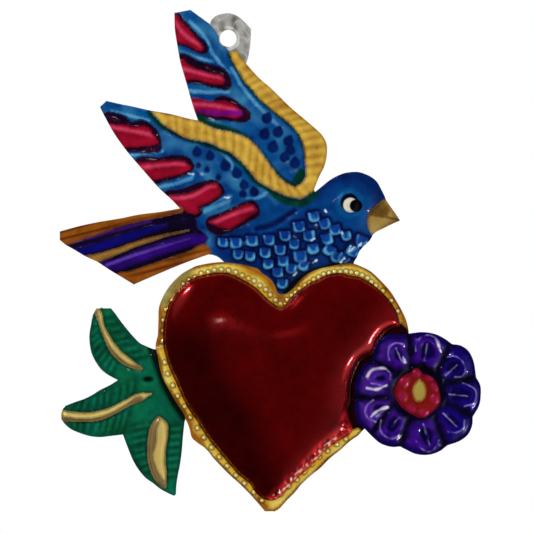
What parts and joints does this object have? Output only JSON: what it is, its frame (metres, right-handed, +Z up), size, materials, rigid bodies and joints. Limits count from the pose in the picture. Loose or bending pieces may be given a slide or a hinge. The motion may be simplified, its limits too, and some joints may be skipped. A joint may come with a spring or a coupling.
{
  "type": "tin ornament",
  "caption": "Hand-pressed and lacquered tin wall ornament: a bird over a domed heart, with a flower and a leaf sprig at its sides and a punched tab to hang it by.",
  "frame": {"origin": "centre of the hanging hole, on the back face of the tab", "axes": "+Z up as it hangs, -Y out of the front, +X to the right as seen from the front"},
  "size_m": [0.1103, 0.0069, 0.1305],
  "materials": {
    "bare_tin": "bare tinplate, dull bright",
    "bird_lacquer": "transparent blue lacquer over bright tin, with gilt wing edges and red feathers",
    "heart_lacquer": "deep red transparent lacquer over bright tin, with a gilt rim",
    "leaf_lacquer": "transparent green lacquer over bright tin, with gilt midribs",
    "petal_lacquer": "transparent violet lacquer over bright tin",
    "flower_centre_lacquer": "transparent red lacquer over bright tin, with a gilt seed",
    "solder": "dull grey soft solder"
  },
  "bodies": {
    "root": {"hanging_tab": "bare_tin", "bird": "bird_lacquer", "heart": "heart_lacquer", "leaf_sprig": "leaf_lacquer", "flower": "petal_lacquer", "flower_centre": "flower_centre_lacquer", "tab_solder": "solder", "bird_solder": "solder", "sprig_solder": "solder", "flower_solder": "solder"}
  },
  "joints": []
}
